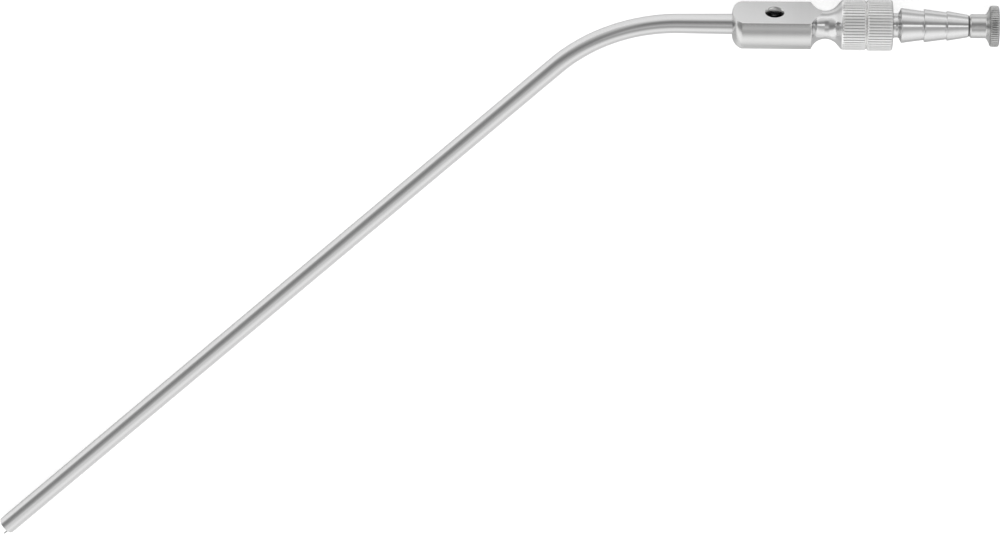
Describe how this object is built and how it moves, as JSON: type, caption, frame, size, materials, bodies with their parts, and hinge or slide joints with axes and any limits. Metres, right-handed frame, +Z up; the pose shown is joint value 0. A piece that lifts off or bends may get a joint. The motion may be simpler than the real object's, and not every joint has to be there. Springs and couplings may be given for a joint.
{
  "type": "surgical suction tube",
  "caption": "Bent suction tube with a flatted finger-control handle, knurled collars, barbed hose end and a wire stylet with a knurled knob in place.",
  "frame": {"origin": "on the surface that the part lies on, under the middle of its bounding box", "axes": "+X along the handle from the tube towards the stylet's knob, +Y the way the thumb flat faces (rolled under 2 degrees about X, so that collar and tip both touch), +Z up"},
  "size_m": [0.2082, 0.1376, 0.0105],
  "materials": {
    "tube_steel": "satin, drawn along the tube",
    "handle_steel": "satin",
    "connector_steel": "fine turned, half bright",
    "knob_steel": "satin",
    "wire_steel": "drawn wire"
  },
  "bodies": {
    "root": {"suction_tube": "tube_steel", "handle": "handle_steel", "hose_connector": "connector_steel", "stylet_knob": "knob_steel", "stylet_wire": "wire_steel"}
  },
  "joints": []
}
